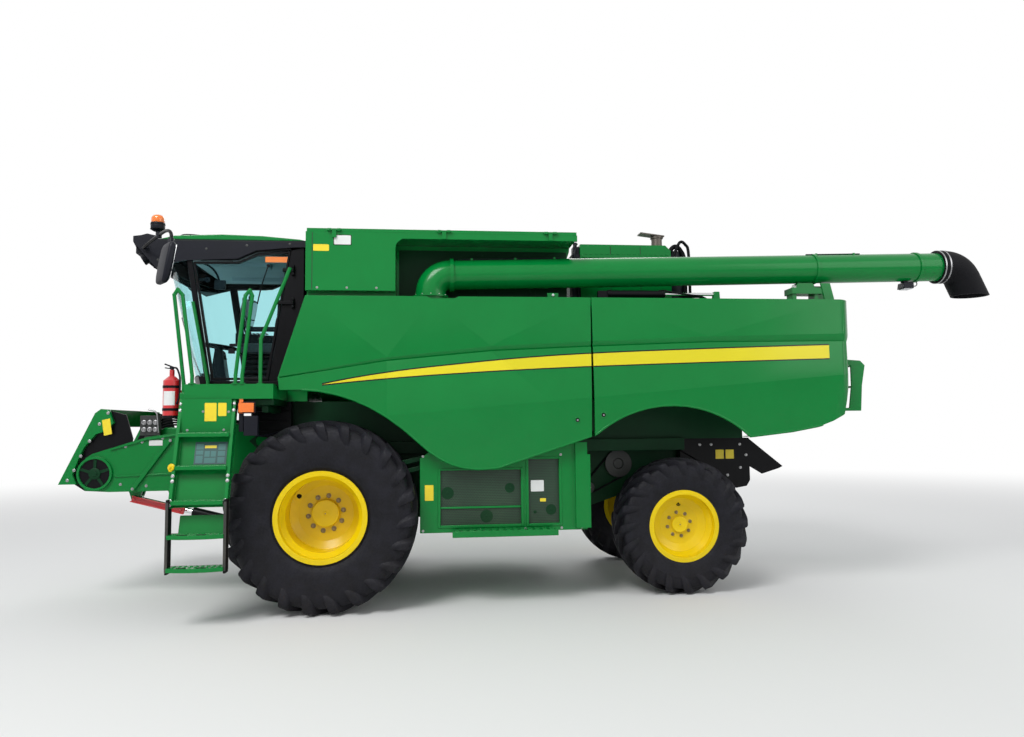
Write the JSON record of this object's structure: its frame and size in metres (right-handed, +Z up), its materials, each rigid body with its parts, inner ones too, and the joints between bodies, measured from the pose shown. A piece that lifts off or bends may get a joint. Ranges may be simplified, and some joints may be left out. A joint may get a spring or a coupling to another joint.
{
  "type": "combine harvester without header",
  "caption": "Self-propelled combine harvester, header removed, with cab, grain tank, folded unloading auger, side shields, ladder and steered rear wheels.",
  "frame": {"origin": "on the ground under the middle of the overall bounding box", "axes": "+X toward the rear, -Y to the machine's left side, +Z up"},
  "size_m": [9.6958, 3.7292, 3.953],
  "materials": {
    "green_paint": "gloss enamel, lightly dusty",
    "dark_green_paint": "enamel, dusty",
    "yellow_paint": "gloss enamel",
    "black_paint": "satin enamel",
    "engine_grey": "painted casting",
    "exhaust_steel": "heat-darkened",
    "black_plastic": "matte",
    "window_glass": "tinted, clear",
    "seat_fabric": "woven",
    "amber_lens": "gloss",
    "red_paint": "gloss",
    "chrome_rod": "polished",
    "black_rubber": "matte",
    "bare_steel": "satin",
    "tyre_rubber": "matte, dusty"
  },
  "bodies": {
    "machine": {"chassis": "dark_green_paint", "separator_body": "dark_green_paint", "front_axle": "dark_green_paint", "engine_block": "engine_grey", "grain_tank": "green_paint", "engine_deck": "green_paint", "exhaust": "exhaust_steel", "air_cleaner": "black_plastic", "cooling_screen": "black_plastic", "rear_hood": "green_paint", "cab_shell": "black_paint", "cab_visor": "black_plastic", "cab_roof": "green_paint", "cab_glass": "window_glass", "seat": "seat_fabric", "controls": "black_plastic", "mirrors": "black_plastic", "lamps": "amber_lens", "platform": "green_paint", "ladder": "green_paint", "handrails": "green_paint", "extinguisher": "red_paint", "lower_side_left": "green_paint", "lower_side_right": "green_paint", "chopper": "black_paint", "rear_axle": "dark_green_paint"},
    "cab_door": {"cab_door": "black_paint", "door_glass": "window_glass"},
    "feeder": {"feeder_house": "green_paint", "feeder_front": "green_paint", "feeder_webs": "black_paint"},
    "lift_barrel_left": {"lift_barrel_left": "black_paint"},
    "lift_barrel_right": {"lift_barrel_right": "black_paint"},
    "lift_rod_left": {"lift_rod_left": "chrome_rod"},
    "lift_rod_right": {"lift_rod_right": "chrome_rod"},
    "auger": {"auger_elbow": "green_paint", "auger_tube": "green_paint", "auger_spout": "black_rubber"},
    "tank_cover_left": {"tank_cover_left": "green_paint"},
    "tank_cover_right": {"tank_cover_right": "green_paint"},
    "shield_front_left": {"shield_front_left": "green_paint"},
    "shield_front_right": {"shield_front_right": "green_paint"},
    "shield_rear_left": {"shield_rear_left": "green_paint"},
    "shield_rear_right": {"shield_rear_right": "green_paint"},
    "wheel_front_left": {"tyre_front_left": "tyre_rubber", "rim_front_left": "yellow_paint"},
    "wheel_front_right": {"tyre_front_right": "tyre_rubber", "rim_front_right": "yellow_paint"},
    "wheel_rear_left": {"tyre_rear_left": "tyre_rubber", "rim_rear_left": "yellow_paint"},
    "wheel_rear_right": {"tyre_rear_right": "tyre_rubber", "rim_rear_right": "yellow_paint"},
    "knuckle_left": {"knuckle_left": "dark_green_paint"},
    "knuckle_right": {"knuckle_right": "dark_green_paint"},
    "tie_rod": {"tie_rod": "bare_steel"}
  },
  "joints": [
    {"name": "wheel_front_left_spin", "type": "hinge", "parent": "machine", "child": "wheel_front_left", "pos_m": [-2.164, -1.1285, 0.9], "axis": [0, 1, 0], "continuous": true},
    {"name": "wheel_front_right_spin", "type": "hinge", "parent": "machine", "child": "wheel_front_right", "pos_m": [-2.164, 1.3365, 0.9], "axis": [0, 1, 0], "continuous": true},
    {"name": "steer_left", "type": "hinge", "parent": "machine", "child": "knuckle_left", "pos_m": [1.426, -0.626, 0.69], "axis": [0, 0, 1], "range_deg": [-25, 25]},
    {"name": "steer_right", "type": "hinge", "parent": "machine", "child": "knuckle_right", "pos_m": [1.426, 0.834, 0.69], "axis": [0, 0, 1], "range_deg": [-25, 25]},
    {"name": "tie_rod_turn", "type": "hinge", "parent": "knuckle_left", "child": "tie_rod", "pos_m": [1.686, -0.626, 0.573], "axis": [0, 0, 1], "range_deg": [-25, 25]},
    {"name": "wheel_rear_left_spin", "type": "hinge", "parent": "knuckle_left", "child": "wheel_rear_left", "pos_m": [1.426, -0.916, 0.69], "axis": [0, 1, 0], "continuous": true},
    {"name": "wheel_rear_right_spin", "type": "hinge", "parent": "knuckle_right", "child": "wheel_rear_right", "pos_m": [1.426, 1.124, 0.69], "axis": [0, 1, 0], "continuous": true},
    {"name": "feeder_lift", "type": "hinge", "parent": "machine", "child": "feeder", "pos_m": [-2.864, 0.104, 1.6], "axis": [0, 1, 0], "range_deg": [-22, 6]},
    {"name": "lift_barrel_left_turn", "type": "hinge", "parent": "machine", "child": "lift_barrel_left", "pos_m": [-2.614, -0.456, 0.62], "axis": [0, 1, 0], "range_deg": [-15.95, 4.36]},
    {"name": "lift_rod_left_slide", "type": "slide", "parent": "lift_barrel_left", "child": "lift_rod_left", "axis": [-0.9667, 0, 0.2559], "range_m": [-0.3559, 0.09721]},
    {"name": "lift_barrel_right_turn", "type": "hinge", "parent": "machine", "child": "lift_barrel_right", "pos_m": [-2.614, 0.664, 0.62], "axis": [0, 1, 0], "range_deg": [-15.95, 4.36]},
    {"name": "lift_rod_right_slide", "type": "slide", "parent": "lift_barrel_right", "child": "lift_rod_right", "axis": [-0.9667, 0, 0.2559], "range_m": [-0.3559, 0.09721]},
    {"name": "auger_swing", "type": "hinge", "parent": "machine", "child": "auger", "pos_m": [-1.144, -1.146, 3.245], "axis": [0, 0, -1], "range_deg": [0, 95]},
    {"name": "tank_cover_left_lift", "type": "hinge", "parent": "machine", "child": "tank_cover_left", "pos_m": [-1.014, -1.412, 3.626], "axis": [1, 0, 0], "range_deg": [0, 100]},
    {"name": "tank_cover_right_lift", "type": "hinge", "parent": "machine", "child": "tank_cover_right", "pos_m": [-1.014, 1.62, 3.626], "axis": [-1, 0, 0], "range_deg": [0, 100]},
    {"name": "shield_front_left_lift", "type": "hinge", "parent": "machine", "child": "shield_front_left", "pos_m": [-1.014, -1.336, 2.96], "axis": [-1, 0, 0], "range_deg": [0, 75]},
    {"name": "shield_front_right_lift", "type": "hinge", "parent": "machine", "child": "shield_front_right", "pos_m": [-1.014, 1.544, 2.96], "axis": [1, 0, 0], "range_deg": [0, 75]},
    {"name": "shield_rear_left_lift", "type": "hinge", "parent": "machine", "child": "shield_rear_left", "pos_m": [1.736, -1.336, 2.96], "axis": [-1, 0, 0], "range_deg": [0, 75]},
    {"name": "shield_rear_right_lift", "type": "hinge", "parent": "machine", "child": "shield_rear_right", "pos_m": [1.736, 1.544, 2.96], "axis": [1, 0, 0], "range_deg": [0, 75]},
    {"name": "cab_door_swing", "type": "hinge", "parent": "machine", "child": "cab_door", "pos_m": [-2.549, -0.808, 3.18], "axis": [0, 0, 1], "range_deg": [0, 55]}
  ],
  "couplings": [
    {"joint": "steer_right", "follows": "steer_left", "ratio": 1},
    {"joint": "tie_rod_turn", "follows": "steer_left", "ratio": -1},
    {"joint": "lift_barrel_left_turn", "follows": "feeder_lift", "ratio": 0.72451},
    {"joint": "lift_rod_left_slide", "follows": "feeder_lift", "m_per_rad": 0.92636},
    {"joint": "lift_barrel_right_turn", "follows": "feeder_lift", "ratio": 0.72451},
    {"joint": "lift_rod_right_slide", "follows": "feeder_lift", "m_per_rad": 0.92636}
  ]
}
